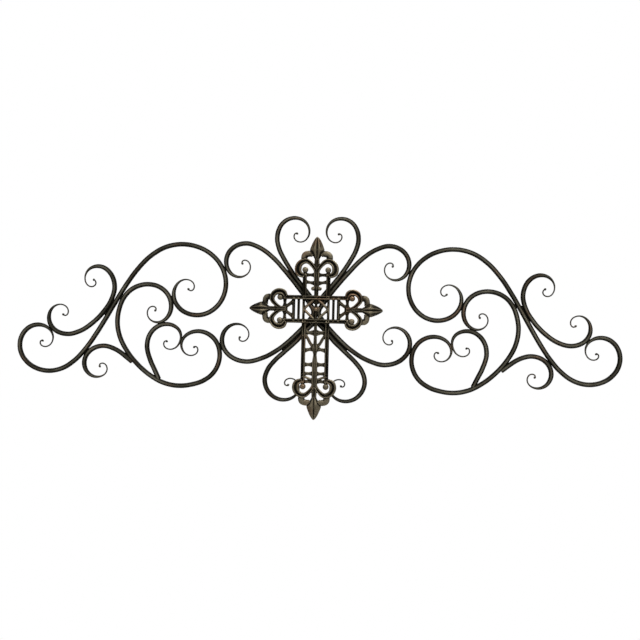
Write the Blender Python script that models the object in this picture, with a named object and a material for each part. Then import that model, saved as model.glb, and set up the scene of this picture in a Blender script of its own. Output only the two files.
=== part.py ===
"""Wall cross: an openwork cast cross on a wide spray of bent iron scrolls.

The object stands in the XZ plane with its back in the plane Y = 0 and its
front towards -Y. The origin is the hanging point, on the back of the bar
of the top centre scroll. Sizes are in millimetres, and MM turns them into
metres where the solids are made. Levels are measured up from the middle of
the cross, and side distances from the middle line of the object.
"""
import math

import bmesh
import bpy

MM = 0.001

# Bars
BAR_WIDTH = 8.4
BAR_DEPTH = 6.6
SHOULDER = 0.55          # height of the bar's side faces, as a share of its depth
FLAT_TOP = 0.5           # width of a flat front, as a share of its bar's width
THIN_WIDTH = 2.4         # width of a drawn-out end
WELD_GAP = 0.3           # clearance kept between pieces that are welded
MITRE_ROOM = 0.2         # what a sharp bend's corner sticks out
FOOT_GAP = 0.3           # clearance between a cut foot and the bar it stands on
FACET_ERROR = 1.2        # how far a straight piece may leave the true curve
FACET_TURN = 30.0        # most degrees of turn in one straight piece

FLAT_ANGLE = 1.0         # faces of the cross that turn less than this are joined
LEAN_REACH = 26.0        # how far the side of a curl may move to find its weld

# A drawn-out end is thin for the first number of degrees from its tip, and
# has the bar's full width from the second number on.
QUICK_TAPER = (260.0, 400.0)
MIDDLE_TAPER = (300.0, 455.0)
LATE_TAPER = (335.0, 480.0)
SLOW_TAPER = (265.0, 500.0)
LONG_TAPER = (285.0, 540.0)

# Cross
TOP_ARM = 128.0
BOTTOM_ARM = 195.0
SIDE_ARM = 118.0
BEAM_WIDTH = 49.0
RAIL_WIDTH = 7.4
RAIL_DEPTH = 6.4
STEM_WIDTH = 9.5
STEM_DEPTH = 8.6
RUNG_WIDTH = 4.6
RUNG_DEPTH = 5.2
RUNG_INSET = 0.4         # how far short of a rail's ridge a rung ends
FINIAL_LENGTH = 67.5     # from the rung at its foot to its tip
SIDE_FINIAL_SIZE = 0.93  # side finials against the upright ones
CURL_REACH = 39.0
CURL_WIDTH = 12.0        # where it is widest, on its outer side
CURL_DEPTH = 9.6
EAR_REACH = 22.3         # to the middle of its band
EAR_WIDTH = 11.5
EAR_DEPTH = 7.2
BUD_WIDTH = 25.5
BUD_DEPTH = 11.0
BUD_SHOULDER = 0.48      # where it is widest, as a share of its length
EYE_WIDTH = 10.5
EYE_DEPTH = 9.0
STALK_WIDTH = 6.0        # joins an eye to the end of its rail
KNOB_SIDES = 6
STROKE_WIDTH = 4.6
STROKE_PITCH = 8.8
BOSS_WIDTH = 12.0

# Span
SPAN = 1063.4            # between the middle lines of the two outermost bends
DRAWN_SPAN = 1063.4      # the same, as the stations of the scrolls are given
SPREAD = SPAN / DRAWN_SPAN

KAPPA = 0.5523           # handle length that makes a quarter circle
FULL = 0.62              # the same for a quarter turn that bulges more
STRAIGHT_SHARE = 1.6     # how much longer a handle is that faces a straight run
FLAT_HEIGHT = 0.3407     # curvature match between a round and a straight end


# Stations of a scroll, in the order the bar runs. level is a top or bottom
# of a curl at that height, upright is a left or right side of a curl at that
# distance, and slant is a point where the bar runs straight. fullness is how
# far the quarter turn after a station bulges, and at is a station's place
# along its tangent, where it isn't worked out. All places spread with the span.

def tangent(axis, place, fullness, at):
    free = None if at is None else at * SPREAD
    return {"axis": axis, "value": place * SPREAD, "fullness": fullness, "free": free}


def level(height, fullness=KAPPA, at=None):
    return tangent(1, height, fullness, at)


def upright(distance, fullness=KAPPA, at=None):
    return tangent(0, distance, fullness, at)


def slant(distance, height, heading, fullness=KAPPA):
    point = (distance * SPREAD, height * SPREAD)
    return {"axis": None, "point": point, "heading": heading, "fullness": fullness}


def straight(distance, height, heading, length, fullness=KAPPA):
    """Two slants, at the ends of a straight run."""
    angle = math.radians(heading)
    end = (distance + length * math.cos(angle), height + length * math.sin(angle))
    return [slant(distance, height, heading), slant(*end, heading, fullness)]


TOP_APEX = 12.5
LOW_APEX = -23.0

LARGE_S = [
    upright(-229.3), level(28.3), upright(-218.5), level(48), upright(-255),
    level(-15), upright(-161.7), level(110.6, FULL),
    *straight(-362.5, 0, 240, 22, FULL),
    level(-120.7), upright(-531.7), level(-38.4), upright(-473.3), level(-77.6),
    upright(-495), level(-66.8), upright(-489.8),
]
OUTER_C = [
    level(44.4), upright(-396.2), level(31.6), upright(-416.2), level(68.5),
    upright(-362.5, 0.40, at=31), level(-54, 0.59, at=-445), upright(-479.8),
    level(-1.2), upright(-445.2), level(-21), upright(-454.6),
]
LARGE_C = [
    level(-9), upright(-286.4), level(-1.2), upright(-302), level(-29.4),
    upright(-259.8), level(37.3, FULL), upright(-354.5, 0.43, at=-31.7),
    level(-141.2, FULL, at=-245.8), upright(-169.9), level(-43.5), upright(-239.3),
    level(-87), upright(-209.5), level(-71), upright(-216.8),
]
HEART = [
    slant(-278.5, -130, 118), upright(-300.8), level(-32.9), upright(-241.2, at=-53),
    level(-77), upright(-271.2), level(-62.3), upright(-265),
]
LOW = [
    slant(-327.5, -100.4, 140), level(-74.6), upright(-412.7), level(-129.4),
    upright(-372.4), level(-104.8), upright(-386.2), level(-111.2),
]
CENTRE = [
    level(77.7), upright(-134), level(84.4), upright(-118.9), level(54.5),
    upright(-162.3), level(114.2, 0.42, at=-127),
    *straight(-55.5, 65.5, -52, 73), upright(-4),
    *straight(-9.5, -16.3, 228.5, 43, 0.35), level(-95.3, at=-122),
    upright(-165.9), level(-29), upright(-118.9), level(-59.6), upright(-136),
    level(-52),
]
TOP = [
    upright(-36.2), level(134), upright(-42.4), level(118.6), upright(-15.2),
    level(161, 0.6), upright(-72), slant(-58.3, 87.4, -59),
    *straight(-46, 68, -52, 52), level(TOP_APEX, at=0),
]
BOTTOM = [
    upright(-46.2), level(-136), upright(-53.3), level(-123.2), upright(-28),
    level(-161.3), upright(-88.6), slant(-56, -77.2, 41),
    *straight(-32, -54.7, 48.5, 16), level(LOW_APEX, at=0),
]


# Centre-lines

def unit(heading):
    angle = math.radians(heading)
    return (math.cos(angle), math.sin(angle))


def tangent_meets(station, neighbour):
    """Where the tangent at a curl's side meets the neighbour's line.

    Gives its place along the tangent, and how far the neighbour stands off.
    """
    axis = station["axis"]
    if neighbour["axis"] is None:
        heading = unit(neighbour["heading"])
        reach = (station["value"] - neighbour["point"][axis]) / heading[axis]
        place = neighbour["point"][1 - axis] + reach * heading[1 - axis]
        return place, FLAT_HEIGHT * abs(reach * heading[axis])
    return neighbour["value"], abs(neighbour["place"][axis] - station["value"])


def place_stations(stations):
    """Gives every station a point, so that the curvature runs through.

    A curl's side is a number on one axis only. Its place along its tangent
    divides the way between its neighbours by the roots of their heights.
    """
    for i, station in enumerate(stations):
        axis = station["axis"]
        if axis is None:
            station["place"] = list(station["point"])
            continue
        near = [stations[j] for j in (i - 1, i + 1) if 0 <= j < len(stations)]
        free = sum(
            n["point"][1 - axis] if n["axis"] is None else n["value"]
            for n in near
        ) / len(near)
        if station["free"] is not None:
            free = station["free"]
        station["place"] = [station["value"], free] if axis == 0 else [free, station["value"]]
    for _ in range(40):
        for i, station in enumerate(stations):
            axis = station["axis"]
            if axis is None or station["free"] is not None:
                continue
            near = [stations[j] for j in (i - 1, i + 1) if 0 <= j < len(stations)]
            met = [tangent_meets(station, n) for n in near]
            if len(met) == 2:
                roots = [math.sqrt(max(height, 1e-6)) for _, height in met]
                share = roots[0] / (roots[0] + roots[1])
                free = met[0][0] + (met[1][0] - met[0][0]) * share
            else:
                inward = 1 if i == 0 else -1
                beyond = stations[i + 2 * inward]["place"][1 - axis]
                side = 1 if beyond > met[0][0] else -1
                free = met[0][0] + side * met[0][1]
            station["place"][1 - axis] = 0.5 * (station["place"][1 - axis] + free)


def corner_of(first, second):
    """Where the lines through two neighbouring stations cross."""
    if first["axis"] is None:
        first, second = second, first
    place, _ = tangent_meets(first, second)
    return (first["value"], place) if first["axis"] == 0 else (place, first["value"])


def towards(start, end, share):
    return tuple(a + share * (b - a) for a, b in zip(start, end))


def piece_handles(first, second):
    """The two middle control points of the curve between two stations."""
    straight = [s["axis"] is None for s in (first, second)]
    if all(straight):
        reach = math.dist(first["place"], second["place"]) / 3
        ahead = unit(first["heading"])
        back = unit(second["heading"])
        return (
            tuple(p + reach * d for p, d in zip(first["place"], ahead)),
            tuple(p - reach * d for p, d in zip(second["place"], back)),
        )
    corner = corner_of(first, second)
    shares = [first["fullness"], first["fullness"]]
    if any(straight):
        facing = STRAIGHT_SHARE * first["fullness"]
        shares = [0.5 if is_straight else facing for is_straight in straight]
    return (
        towards(first["place"], corner, shares[0]),
        towards(second["place"], corner, shares[1]),
    )


def bezier(ends, handles, t):
    s = 1 - t
    weights = (s ** 3, 3 * s * s * t, 3 * s * t * t, t ** 3)
    controls = (ends[0], handles[0], handles[1], ends[1])
    return tuple(sum(w * c[k] for w, c in zip(weights, controls)) for k in (0, 1))


def angle_between(a, b):
    turn = abs(math.atan2(a[0] * b[1] - a[1] * b[0], a[0] * b[0] + a[1] * b[1]))
    return math.degrees(turn)


def smooth(x):
    x = min(max(x, 0.0), 1.0)
    return x * x * (3 - 2 * x)


def taper_width(turn, taper):
    thin, full = taper
    share = smooth((turn - thin) / (full - thin))
    return THIN_WIDTH + (BAR_WIDTH - THIN_WIDTH) * share


def facet_count(first, second, handles, turn):
    """Straight pieces needed for the curve between two stations."""
    controls = (first["place"], *handles, second["place"])
    length = sum(math.dist(a, b) for a, b in zip(controls, controls[1:]))
    by_error = math.sqrt(length * math.radians(turn) / (8 * FACET_ERROR))
    return max(1, math.ceil(by_error), math.ceil(turn / FACET_TURN))


def trace(stations, tapers):
    """The centre-line of a scroll: a list of points with width and station.

    tapers names how the two ends are drawn out, with None for a plain end.
    """
    place_stations(stations)
    quarters = []
    for first, second in zip(stations, stations[1:]):
        handles = piece_handles(first, second)
        out = [h - p for h, p in zip(handles[0], first["place"])]
        into = [p - h for p, h in zip(second["place"], handles[1])]
        quarters.append((first, second, handles, angle_between(out, into)))
    total = sum(q[3] for q in quarters)
    line = []
    turned = 0.0
    for number, (first, second, handles, turn) in enumerate(quarters):
        steps = facet_count(first, second, handles, turn)
        last = second is stations[-1]
        for k in range(steps + (1 if last else 0)):
            t = k / steps
            here = turned + turn * t
            width = BAR_WIDTH
            if tapers[0]:
                width = min(width, taper_width(here, tapers[0]))
            if tapers[1]:
                width = min(width, taper_width(total - here, tapers[1]))
            point = bezier((first["place"], second["place"]), handles, t)
            line.append((point, width, number + t))
        turned += turn
    return line


# Welds: a scroll that leans on another takes the side of its curl from it

def gap_point_to_piece(point, width, start, end):
    """Clearance from a point of one bar to a straight piece of another."""
    (ax, az), (bx, bz) = start[0], end[0]
    length2 = (bx - ax) ** 2 + (bz - az) ** 2
    t = 0.0
    if length2 > 0:
        t = ((point[0] - ax) * (bx - ax) + (point[1] - az) * (bz - az)) / length2
        t = min(max(t, 0.0), 1.0)
    foot = (ax + t * (bx - ax), az + t * (bz - az))
    other = start[1] + t * (end[1] - start[1])
    return math.dist(point, foot) - (width + other) / 2


def clearance(line, other):
    """Smallest clearance between two bars, given as lists of points."""
    smallest = 1e9
    for one, two in ((line, other), (other, line)):
        for start, end in zip(two, two[1:]):
            reach = math.dist(start[0], end[0]) + 40
            for point, width, _ in one:
                if math.dist(point, start[0]) < reach:
                    smallest = min(smallest, gap_point_to_piece(point, width, start, end))
    return smallest


def lean(stations, tapers, moves, other):
    """Moves the sides of a curl until the bar just clears another scroll.

    moves gives, for each side, the way it moves to come away from the other
    scroll.
    """
    indexes = sorted(moves)
    starts = {i: stations[i]["value"] for i in indexes}
    near = (indexes[0] - 0.7, indexes[-1] + 0.7)

    def gap_at(shift):
        for i in indexes:
            stations[i]["value"] = starts[i] + moves[i] * shift
        line = trace(stations, tapers)
        return clearance([p for p in line if near[0] <= p[2] <= near[1]], other)

    low, high = -LEAN_REACH, LEAN_REACH
    for _ in range(22):
        middle = (low + high) / 2
        if gap_at(middle) < WELD_GAP:
            low = middle
        else:
            high = middle
    gap_at(high)


def offset_slants(stations, tapers, indexes, other, side):
    """Moves slants square to their run until the bar clears another scroll."""
    starts = [stations[i]["point"] for i in indexes]

    def gap_at(shift):
        for i, point in zip(indexes, starts):
            heading = unit(stations[i]["heading"])
            stations[i]["point"] = (
                point[0] - side * shift * heading[1],
                point[1] + side * shift * heading[0],
            )
        return clearance(trace(stations, tapers), other)

    low, high = -8.0, 8.0
    for _ in range(18):
        middle = (low + high) / 2
        if gap_at(middle) < WELD_GAP:
            low = middle
        else:
            high = middle
    gap_at(high)


def draw_scrolls():
    """Traces every scroll of the left half, in the order they lean."""
    quick_late = (QUICK_TAPER, LATE_TAPER)
    both_quick = (QUICK_TAPER, QUICK_TAPER)
    both_middle = (MIDDLE_TAPER, MIDDLE_TAPER)
    middle_slow = (MIDDLE_TAPER, SLOW_TAPER)
    foot_middle = (None, MIDDLE_TAPER)
    foot_slow = (None, SLOW_TAPER)
    long = (LONG_TAPER, None)
    large_s = trace(LARGE_S, quick_late)
    lean(OUTER_C, both_quick, {5: -1}, large_s)
    outer_c = trace(OUTER_C, both_quick)
    lean(LARGE_S, quick_late, {13: -1}, outer_c)
    large_s = trace(LARGE_S, quick_late)
    for _ in range(2):
        lean(LARGE_C, middle_slow, {6: -1, 7: 1}, large_s)
        lean(LARGE_C, middle_slow, {5: -1}, large_s)
    large_c = trace(LARGE_C, middle_slow)
    for _ in range(2):
        lean(HEART, foot_slow, {2: -1}, large_c)
        lean(HEART, foot_slow, {3: -1}, large_c)
    lean(LOW, foot_middle, {1: -1, 2: 1}, large_s)
    CENTRE[9]["value"] = -(BAR_WIDTH + WELD_GAP) / 2 - MITRE_ROOM
    lean(CENTRE, both_middle, {5: 1}, large_s)
    lean(CENTRE, both_middle, {13: 1}, large_c)
    centre = trace(CENTRE, both_middle)
    offset_slants(TOP, long, (7, 8, 9), centre, 1)
    offset_slants(BOTTOM, long, (7, 8, 9), centre, -1)
    return {
        "large_s_scroll": large_s,
        "outer_c_scroll": outer_c,
        "large_c_scroll": large_c,
        "heart_scroll": trace(HEART, foot_slow),
        "low_scroll": trace(LOW, foot_middle),
        "centre_scroll": centre,
        "top": trace(TOP, long),
        "bottom": trace(BOTTOM, long),
    }


# Solids

def section_curve(name, outline):
    """A closed section, two units wide, that a bar is swept from."""
    curve = bpy.data.curves.new(name, "CURVE")
    curve.dimensions = "2D"
    spline = curve.splines.new("POLY")
    spline.points.add(len(outline) - 1)
    for point, (across, front) in zip(spline.points, outline):
        point.co = (across, front, 0, 1)
    spline.use_cyclic_u = True
    section = bpy.data.objects.new(name, curve)
    section.hide_render = True
    section.display_type = "WIRE"
    CUTTERS.objects.link(section)
    return section


def ridged_section(name, width, depth):
    """Flat back, upright sides and a front that rises to a ridge."""
    front = 2 * depth / width
    side = SHOULDER * front
    return section_curve(name, [(-1, 0), (1, 0), (1, side), (0, front), (-1, side)])


def flat_section(name, width, depth):
    """Flat back, sloping sides and a narrower flat front."""
    front = 2 * depth / width
    return section_curve(name, [(-1, 0), (1, 0), (FLAT_TOP, front), (-FLAT_TOP, front)])


def cutting_section(name):
    """A block that passes behind and in front of a bar."""
    return section_curve(name, [(-1, -1), (1, -1), (1, 4), (-1, 4)])


def sweep(name, points, widths, section):
    """A closed mesh object swept along points, its section scaled by widths.

    It lies in the object's own XY plane, with its front towards +Z.
    """
    curve = bpy.data.curves.new(name, "CURVE")
    curve.dimensions = "2D"
    curve.fill_mode = "NONE"
    curve.bevel_mode = "OBJECT"
    curve.bevel_object = section
    curve.use_fill_caps = True
    spline = curve.splines.new("POLY")
    spline.points.add(len(points) - 1)
    for target, point, width in zip(spline.points, points, widths):
        target.co = (point[0] * MM, point[1] * MM, 0, 1)
        target.radius = width / 2 * MM
    source = bpy.data.objects.new(name + "_line", curve)
    CUTTERS.objects.link(source)
    bpy.context.view_layer.update()
    graph = bpy.context.evaluated_depsgraph_get()
    mesh = bpy.data.meshes.new_from_object(source.evaluated_get(graph))
    bpy.data.objects.remove(source)
    mesh.name = name
    clean(mesh)
    return bpy.data.objects.new(name, mesh)


def clean(mesh, flat_angle=None):
    """Welds the caps on, joins faces that lie flat and turns all outwards."""
    work = bmesh.new()
    work.from_mesh(mesh)
    bmesh.ops.remove_doubles(work, verts=work.verts, dist=0.00001)
    if flat_angle:
        bmesh.ops.dissolve_limit(
            work, angle_limit=math.radians(flat_angle), verts=work.verts,
            edges=work.edges, use_dissolve_boundaries=False,
        )
        bmesh.ops.triangulate(work, faces=work.faces)
        loose = [edge for edge in work.edges if not edge.link_faces]
        bmesh.ops.delete(work, geom=loose, context="EDGES")
    bmesh.ops.recalc_face_normals(work, faces=work.faces)
    work.to_mesh(mesh)
    work.free()


def make_material(name, colour, roughness, metallic):
    material = bpy.data.materials.new(name)
    material.use_nodes = True
    shader = material.node_tree.nodes["Principled BSDF"]
    shader.inputs["Base Color"].default_value = (*colour, 1)
    shader.inputs["Roughness"].default_value = roughness
    shader.inputs["Metallic"].default_value = metallic
    material.diffuse_color = (*colour, 1)
    return material


def finish(obj, material, level_front):
    """Stands a piece up in the object's frame and gives it its material."""
    obj.rotation_euler = (math.radians(90), 0, 0)
    obj.location = (0, -level_front * MM, -TOP_APEX * MM)
    obj.data.materials.clear()
    obj.data.materials.append(material)
    for polygon in obj.data.polygons:
        polygon.use_smooth = True
    obj.data.set_sharp_from_angle(angle=math.radians(35))
    PARTS.objects.link(obj)


def boolean(obj, operation, other, flat_angle=None):
    """Cuts or joins obj with an object or with all of a collection."""
    CUTTERS.objects.link(obj)
    modifier = obj.modifiers.new("work", "BOOLEAN")
    modifier.operation = operation
    modifier.solver = "EXACT"
    if isinstance(other, bpy.types.Collection):
        modifier.operand_type = "COLLECTION"
        modifier.collection = other
    else:
        modifier.object = other
    bpy.context.view_layer.update()
    graph = bpy.context.evaluated_depsgraph_get()
    mesh = bpy.data.meshes.new_from_object(obj.evaluated_get(graph))
    obj.modifiers.clear()
    obj.data = mesh
    clean(mesh, flat_angle)
    CUTTERS.objects.unlink(obj)


def mirrored(line):
    return [((-point[0], point[1]), width, place) for point, width, place in line]


def bar_object(name, line, section):
    points = [point for point, _, _ in line]
    widths = [width for _, width, _ in line]
    return sweep(name, points, widths, section)


def stretch_near(line, foot, reach):
    """The unbroken stretch of a bar that lies within reach of a foot."""
    gaps = [math.dist(point, foot) for point, _, _ in line]
    first = last = gaps.index(min(gaps))
    while first > 0 and gaps[first - 1] < reach:
        first -= 1
    while last < len(line) - 1 and gaps[last + 1] < reach:
        last += 1
    return line[first:last + 1]


def cut_foot(bar, foot, crossed, section):
    """Cuts a bar's foot to fit the bar it stands on."""
    near = stretch_near(crossed, foot, 8 * BAR_WIDTH)
    points = [point for point, _, _ in near]
    widths = [width + 2 * FOOT_GAP for _, width, _ in near]
    cutter = sweep(bar.name + "_foot_cutter", points, widths, section)
    cutter.hide_render = True
    cutter.display_type = "WIRE"
    CUTTERS.objects.link(cutter)
    boolean(bar, "DIFFERENCE", cutter)


def build_scrolls(material):
    section = ridged_section("bar_section", BAR_WIDTH, BAR_DEPTH)
    block = cutting_section("foot_section")
    scrolls = draw_scrolls()
    footed = {"heart_scroll": HEART, "low_scroll": LOW}
    for side, flip in (("left", False), ("right", True)):
        for kind, line in scrolls.items():
            if kind in ("top", "bottom"):
                continue
            crossed = scrolls["large_c_scroll"]
            foot = footed[kind][0]["point"] if kind in footed else None
            if flip:
                line = mirrored(line)
                crossed = mirrored(crossed)
                foot = (-foot[0], foot[1]) if foot else None
            bar = bar_object(f"{side}_{kind}", line, section)
            if foot:
                cut_foot(bar, foot, crossed, block)
            finish(bar, material, 0)
    for kind in ("top", "bottom"):
        half = scrolls[kind]
        line = half + mirrored(half)[-2::-1]
        finish(bar_object(f"{kind}_centre_scroll", line, section), material, 0)


# Cross. Its arms are drawn along their own run: each point is how far it is
# to the side and how far out from the middle of the cross.

ARM_FRAMES = {
    "top": lambda across, out: (across, out),
    "bottom": lambda across, out: (across, -out),
    "left": lambda across, out: (-out, across),
    "right": lambda across, out: (out, across),
}


def through(points, steps):
    """A smooth line through a few points."""
    ends = [points[0], *points, points[-1]]
    line = []
    for a, b, c, d in zip(ends, ends[1:], ends[2:], ends[3:]):
        for k in range(steps):
            t = k / steps
            line.append(tuple(
                0.5 * (2 * b[n] + (c[n] - a[n]) * t
                       + (2 * a[n] - 5 * b[n] + 4 * c[n] - d[n]) * t * t
                       + (3 * b[n] - a[n] - 3 * c[n] + d[n]) * t ** 3)
                for n in (0, 1)
            ))
    line.append(tuple(points[-1]))
    return line


class Casting:
    """Gathers the overlapping parts of the cross and joins them."""

    def __init__(self):
        self.parts = bpy.data.collections.new("cross_parts")
        self.sections = {}
        self.frame = ARM_FRAMES["top"]
        self.count = 0

    def add(self, obj):
        self.parts.objects.link(obj)

    def strip(self, points, widths, width, depth, section=ridged_section):
        """A strip along points given in the arm's frame."""
        key = (section, depth / width)
        if key not in self.sections:
            name = f"strip_section_{len(self.sections)}"
            self.sections[key] = section(name, width, depth)
        self.count += 1
        placed = [self.frame(*point) for point in points]
        if not isinstance(widths, (list, tuple)):
            widths = [widths] * len(placed)
        self.add(sweep(f"strip_{self.count}", placed, widths, self.sections[key]))

    def pair(self, points, widths, width, depth, section=ridged_section):
        """The same strip on both sides of the arm."""
        self.strip(points, widths, width, depth, section)
        other = [(-across, out) for across, out in points]
        self.strip(other, widths, width, depth, section)

    def thin_strip(self, points, width):
        self.strip(points, width, RUNG_WIDTH, RUNG_DEPTH, flat_section)

    def thin_pair(self, points, width):
        self.pair(points, width, RUNG_WIDTH, RUNG_DEPTH, flat_section)

    def knob(self, across, out, width, depth):
        """A small boss with sloping sides."""
        self.count += 1
        work = bmesh.new()
        bmesh.ops.create_cone(
            work, cap_ends=True, segments=KNOB_SIDES, depth=depth * MM,
            radius1=width / 2 * MM, radius2=width / 4 * MM,
        )
        x, y = self.frame(across, out)
        bmesh.ops.translate(work, verts=work.verts, vec=(x * MM, y * MM, depth / 2 * MM))
        mesh = bpy.data.meshes.new(f"knob_{self.count}")
        work.to_mesh(mesh)
        work.free()
        self.add(bpy.data.objects.new(mesh.name, mesh))

    def bud(self, foot, tip, width, depth):
        """A pointed bud of two leaf halves with a groove between them."""
        self.count += 1
        stations = 7
        work = bmesh.new()
        rings = []
        for k in range(stations + 1):
            along = 1 - (1 - k / stations) ** 1.35
            swell = 0.28 + 0.72 * smooth(along / BUD_SHOULDER)
            if along > BUD_SHOULDER:
                swell = ((1 - along) / (1 - BUD_SHOULDER)) ** 0.6
            half = max(width / 2 * swell, 0.35)
            rise = depth * (0.45 + 0.55 * swell)
            out = foot + (tip - foot) * along
            outline = (
                (-half, 0), (half, 0), (half, 0.4 * rise), (half / 2, rise),
                (0, 0.74 * rise), (-half / 2, rise), (-half, 0.4 * rise),
            )
            ring = []
            for across, front in outline:
                x, y = self.frame(across, out)
                ring.append(work.verts.new((x * MM, y * MM, front * MM)))
            rings.append(ring)
        for ring, following in zip(rings, rings[1:]):
            for i in range(len(ring)):
                j = (i + 1) % len(ring)
                work.faces.new((ring[i], ring[j], following[j], following[i]))
        work.faces.new(rings[0])
        work.faces.new(rings[-1])
        mesh = bpy.data.meshes.new(f"bud_{self.count}")
        bmesh.ops.recalc_face_normals(work, faces=work.faces)
        bmesh.ops.triangulate(work, faces=work.faces)
        work.to_mesh(mesh)
        work.free()
        self.add(bpy.data.objects.new(mesh.name, mesh))

    def joined(self, name):
        parts = list(self.parts.objects)
        first = parts[0]
        self.parts.objects.unlink(first)
        boolean(first, "UNION", self.parts, FLAT_ANGLE)
        for part in parts[1:]:
            bpy.data.objects.remove(part)
        bpy.data.collections.remove(self.parts)
        first.name = name
        first.data.name = name
        return first


def rail_place():
    """Distance of a rail's ridge from the middle line of its beam."""
    return (BEAM_WIDTH - RAIL_WIDTH) / 2


def finial(cast, foot, size):
    """Bud, ears and curls on the end of an arm, from the rung at their foot."""
    length = FINIAL_LENGTH * size
    reach = (CURL_REACH - CURL_WIDTH / 2) * size
    curl_line = [
        (0.06 * reach, foot + 0.10 * length), (0.26 * reach, foot + 0.26 * length),
        (0.55 * reach, foot + 0.36 * length), (0.86 * reach, foot + 0.31 * length),
        (reach, foot + 0.17 * length), (0.93 * reach, foot + 0.035 * length),
        (rail_place() + 1.5, foot - 0.01 * length),
    ]
    curl_swell = [0.50, 0.60, 0.74, 0.88, 1.0, 0.92, 0.66]
    ear = EAR_REACH * size
    ear_line = [
        (0.30 * ear, foot + 0.53 * length), (0.66 * ear, foot + 0.55 * length),
        (0.95 * ear, foot + 0.51 * length), (ear, foot + 0.42 * length),
        (0.92 * ear, foot + 0.33 * length),
    ]
    curl = through(curl_line, 2)
    swell = [w for w, _ in through([(w, 0) for w in curl_swell], 2)]
    cast.pair(curl, [CURL_WIDTH * size * w for w in swell], CURL_WIDTH, CURL_DEPTH)
    cast.pair(through(ear_line, 2), EAR_WIDTH * size, EAR_WIDTH, EAR_DEPTH, flat_section)
    for side in (-1, 1):
        eye = side * (rail_place() - 0.5)
        cast.knob(eye, foot + 0.13 * length, EYE_WIDTH, EYE_DEPTH)
        stalk = [(eye, foot - 1), (eye, foot + 0.13 * length)]
        cast.strip(stalk, STALK_WIDTH, STALK_WIDTH, RAIL_DEPTH)
    cast.bud(foot + 0.36 * length, foot + length, BUD_WIDTH * size, BUD_DEPTH)
    rung(cast, foot)


def rung(cast, out, rise=0.0, width=RUNG_WIDTH):
    """A bar across the arm, ending inside the rails; rise lifts its two ends."""
    side = rail_place() - RUNG_INSET
    line = [(-side, out + rise), (-side / 2, out + 0.4 * rise), (0, out)]
    line += [(-across, place) for across, place in line[-2::-1]]
    cast.thin_strip(line if rise else [line[0], line[-1]], width)


def upright_arms(cast):
    rail = rail_place()
    for end, length in (("top", TOP_ARM), ("bottom", BOTTOM_ARM)):
        cast.frame = ARM_FRAMES[end]
        foot = length - FINIAL_LENGTH
        cast.pair([(rail, rail), (rail, foot + 1.0)], RAIL_WIDTH, RAIL_WIDTH, RAIL_DEPTH)
        finial(cast, foot, 1.0)
    cast.frame = ARM_FRAMES["top"]
    foot = TOP_ARM - FINIAL_LENGTH
    stem = [(rail, 7.4), (0.55 * foot, 7.6), (0.62 * foot, 11.5), (0.70 * foot, 8.0),
            (foot, 10.5), (foot + 0.42 * FINIAL_LENGTH, 8.5)]
    cast.strip([(0, out) for out, _ in stem], [w for _, w in stem], STEM_WIDTH, STEM_DEPTH)
    rung(cast, 0.755 * foot, 0.05 * foot)
    cast.frame = ARM_FRAMES["bottom"]
    foot = BOTTOM_ARM - FINIAL_LENGTH
    stem = [(rail, 5.6), (0.34 * foot, 5.2), (0.48 * foot, 6.4), (0.54 * foot, 10.5),
            (0.63 * foot, 6.0), (0.74 * foot, 9.6), (0.92 * foot, 9.4), (foot, 10.5),
            (foot + 0.42 * FINIAL_LENGTH, 8.5)]
    cast.strip([(0, out) for out, _ in stem], [w for _, w in stem], STEM_WIDTH, STEM_DEPTH)
    branch = [(1.5, 0.53 * foot), (0.42 * rail, 0.47 * foot), (0.66 * rail, 0.40 * foot),
              (rail, 0.345 * foot)]
    cast.thin_pair(through(branch, 2), 4.4)
    rung(cast, 0.325 * foot, 0.0, 5.4)
    rung(cast, 0.545 * foot, 0.03 * foot, 5.2)
    rung(cast, 0.765 * foot, 0.0, 5.2)
    rung(cast, 0.89 * foot)
    cast.thin_pair([(1.5, 0.985 * foot), (rail, 0.925 * foot)], 4.0)


def upright_bar_place():
    """Distance of the bar across a side arm from the middle of the cross."""
    return 0.715 * (SIDE_ARM - FINIAL_LENGTH * SIDE_FINIAL_SIZE)


def stroke_place(number):
    """Distance of an upright stroke: both strokes stand inside that bar."""
    return upright_bar_place() - number * STROKE_PITCH


def side_arms(cast):
    rail = rail_place()
    foot = SIDE_ARM - FINIAL_LENGTH * SIDE_FINIAL_SIZE
    for side in (-1, 1):
        cast.frame = ARM_FRAMES["right"]
        ends = [(side * rail, -foot - 1), (side * rail, foot + 1)]
        cast.strip(ends, RAIL_WIDTH, RAIL_WIDTH, RAIL_DEPTH)
    upright_bar = upright_bar_place()
    for end in ("left", "right"):
        cast.frame = ARM_FRAMES[end]
        finial(cast, foot, SIDE_FINIAL_SIZE)
        stem = [(foot - 2, 8.0), (foot + 6, 9.5), (foot + 0.42 * FINIAL_LENGTH, 8.0)]
        cast.strip([(0, out) for out, _ in stem], [w for _, w in stem],
                   STEM_WIDTH, STEM_DEPTH)
        branch = [(1.2, foot + 3.0), (0.25 * rail, 0.93 * foot), (0.42 * rail, 0.84 * foot),
                  (0.66 * rail, upright_bar)]
        cast.thin_pair(through(branch, 2), 4.4)
        rung(cast, upright_bar, 0.0, 5.4)
        for k in (1, 2):
            rung(cast, stroke_place(k), 0.0, STROKE_WIDTH)


def crossing(cast):
    """A lozenge with a boss, in the middle of the cross."""
    rail = rail_place()
    half = stroke_place(2)
    cast.frame = ARM_FRAMES["top"]
    for side in (-1, 1):
        cast.thin_pair([(0, side * rail), (half, 0)], STROKE_WIDTH)
    cast.thin_strip([(0, -rail), (0, rail)], STROKE_WIDTH)
    cast.knob(0, 0, BOSS_WIDTH, STEM_DEPTH)


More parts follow.
